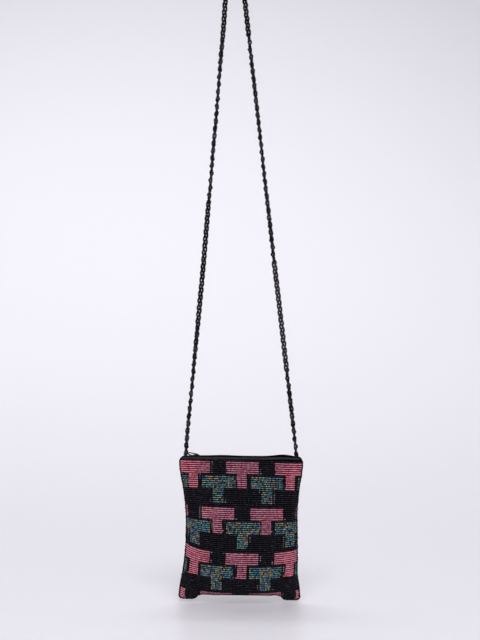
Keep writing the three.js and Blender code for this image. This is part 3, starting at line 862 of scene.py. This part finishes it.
def makeTeeth():
    spots = np.arange(teeth["from"], teeth["to"], teeth["pitch"] / 2)
    count = len(spots)
    side = np.where(np.arange(count) % 2, 1, -1)
    beads = {
        "centre": np.stack([spots, side * teeth["aside"], np.full(count, teeth["height"])], -1),
        "row": np.tile([0, 1, 0], (count, 1)), "out": np.tile([0, 0, 1], (count, 1)),
        "size": np.tile([teeth["length"], teeth["width"]], (count, 1)),
        "colour": np.tile(linear(teeth["colour"]), (count, 1)), "onPouch": True,
    }
    piece = addPiece("zip_teeth", joinBeads("zip_teeth", beadShape(8), beads), coilNylon)
    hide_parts("zip_coil")


# A node of the frame to work on, with its loose triangles joined.
def copyNode(node):
    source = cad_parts[node]
    together = 0.01 * mm
    bm = bmesh.new()
    bm.from_mesh(source.data)
    bmesh.ops.transform(bm, matrix=source.matrix_world, verts=bm.verts)
    bmesh.ops.remove_doubles(bm, verts=bm.verts, dist=together)
    return bm


# The slider with its edges rounded.
slider = {"flatAngle": 0.03, "rounding": 0.2, "segments": 2, "sharpAngle": 0.7}


def makeSlider(name, node):
    bm = copyNode(node)
    bmesh.ops.dissolve_limit(bm, angle_limit=slider["flatAngle"], verts=bm.verts, edges=bm.edges)
    piece = addPiece(name, takeMesh(bm, name), gunmetal)
    bevel = piece.modifiers.new("rounded edges", "BEVEL")
    bevel.width = slider["rounding"] * mm
    bevel.segments = slider["segments"]
    bevel.limit_method = "ANGLE"
    bevel.angle_limit = slider["sharpAngle"]
    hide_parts(node)


# The pull's wire, whose far end leans up against the strap while its near side hangs.
pull = {"lift": 0.9, "hang": 2.4, "hangFrom": 0.3, "longer": 1.2, "sag": 0.8, "thicker": 0.12}


def makePull(name, node):
    bm = copyNode(node)
    farEnd = min(v.co.x for v in bm.verts)
    hinge = max(v.co.x for v in bm.verts)
    frontSide = min(v.co.y for v in bm.verts)
    bm.normal_update()
    for v in bm.verts:
        share = (hinge - v.co.x) / (hinge - farEnd)
        inFront = max(0, v.co.y / frontSide)
        inBack = max(0, -v.co.y / frontSide)
        past = max(0, (share - pull["hangFrom"]) / (1 - pull["hangFrom"]))
        v.co.x -= pull["longer"] * mm * share
        v.co.z += pull["lift"] * mm * share * (2 - share)
        v.co.z -= pull["hang"] * mm * inFront * math.sin(math.pi * past)
        v.co.z -= pull["sag"] * mm * inBack * math.sin(math.pi * share)
        v.co += v.normal * pull["thicker"] * mm
    piece = addPiece(name, takeMesh(bm, name), darkWire, "pull")
    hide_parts(node)


makeTeeth()
makeSlider("slider_body", "zip_slider")
makePull("pull_wire", "zip_pull")
for node in ("zip_tape_front", "zip_tape_back"):
    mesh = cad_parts[node].data
    mesh.materials.clear()
    mesh.materials.append(zipWeave)
print("zip made")

# The studio
studio = {
    # the camera
    "distance": 1.447, "aside": 0.0062, "height": -0.4097, "lens": 73.125, "farthest": 50,
    # the paper, which sweeps up behind the bag
    "floor": -0.7245, "wallAt": 0.7, "sweep": 4.5, "wide": 7, "near": -3, "top": 3, "sweepRows": 90,
    "paper": (232, 230, 236), "paperRoughness": 0.4, "paperShine": 0.3,
    # the light from all round
    "air": 0.3, "airColour": (236, 235, 242),
}
lights = {  # where it is, what it faces, its size in metres, watts
    "ceiling_box": ((-1.2, 1.9, 2.4), (-1.2, 2.1, -0.7), (5, 3), 39),
    "wall_box": ((-0.2, 1.5, 2.2), (0, 3.4, -0.6), (4, 1), 55),
    "key_box": ((0.1, -1.7, 0.8), (0, 0, -0.62), (1.6, 0.8), 34.5),
}


def makeSweep():
    bm = bmesh.new()
    bmesh.ops.create_grid(bm, x_segments=2, y_segments=studio["sweepRows"], size=1)
    arc = studio["sweep"] * math.pi / 2
    flat = studio["wallAt"] - studio["near"]
    total = flat + arc + studio["top"]
    for v in bm.verts:
        run = (v.co.y + 1) / 2 * total
        turn = min(max(run - flat, 0), arc) / studio["sweep"]
        y = studio["near"] + min(run, flat) + studio["sweep"] * math.sin(turn)
        z = studio["floor"] + studio["sweep"] * (1 - math.cos(turn)) + max(run - flat - arc, 0)
        v.co = Vector((v.co.x * studio["wide"], y, z))
    mesh = takeMesh(bm, "paper_sweep")
    sweep = bpy.data.objects.new("paper_sweep", mesh)
    bpy.context.scene.collection.objects.link(sweep)
    mesh.polygons.foreach_set("use_smooth", [True] * len(mesh.polygons))
    material, nodes, links, shader = newMaterial("pale_paper")
    shader.inputs["Base Color"].default_value = asColour(studio["paper"])
    shader.inputs["Roughness"].default_value = studio["paperRoughness"]
    shader.inputs["Specular IOR Level"].default_value = studio["paperShine"]
    mesh.materials.append(material)


def addLight(name, place, target, size, power):
    data = bpy.data.lights.new(name, "AREA")
    data.shape = "RECTANGLE"
    data.size = size[0]
    data.size_y = size[1]
    data.energy = power
    light = bpy.data.objects.new(name, data)
    light.location = place
    light.rotation_euler = (Vector(target) - Vector(place)).to_track_quat("-Z", "Y").to_euler()
    bpy.context.scene.collection.objects.link(light)


makeSweep()
for name, setting in lights.items():
    addLight(name, *setting)
world = bpy.data.worlds.new("studio_air")
world.use_nodes = True
air = world.node_tree.nodes["Background"]
air.inputs["Color"].default_value = asColour(studio["airColour"])
air.inputs["Strength"].default_value = studio["air"]
bpy.context.scene.world = world
bpy.context.scene.view_settings.view_transform = "Standard"

camera = bpy.data.objects.new("camera", bpy.data.cameras.new("camera"))
camera.data.lens = studio["lens"]
camera.data.clip_end = studio["farthest"]
camera.location = (studio["aside"], -studio["distance"], studio["height"])
camera.rotation_euler = (math.pi / 2, 0, 0)
bpy.context.scene.collection.objects.link(camera)
bpy.context.scene.camera = camera
print("studio made")
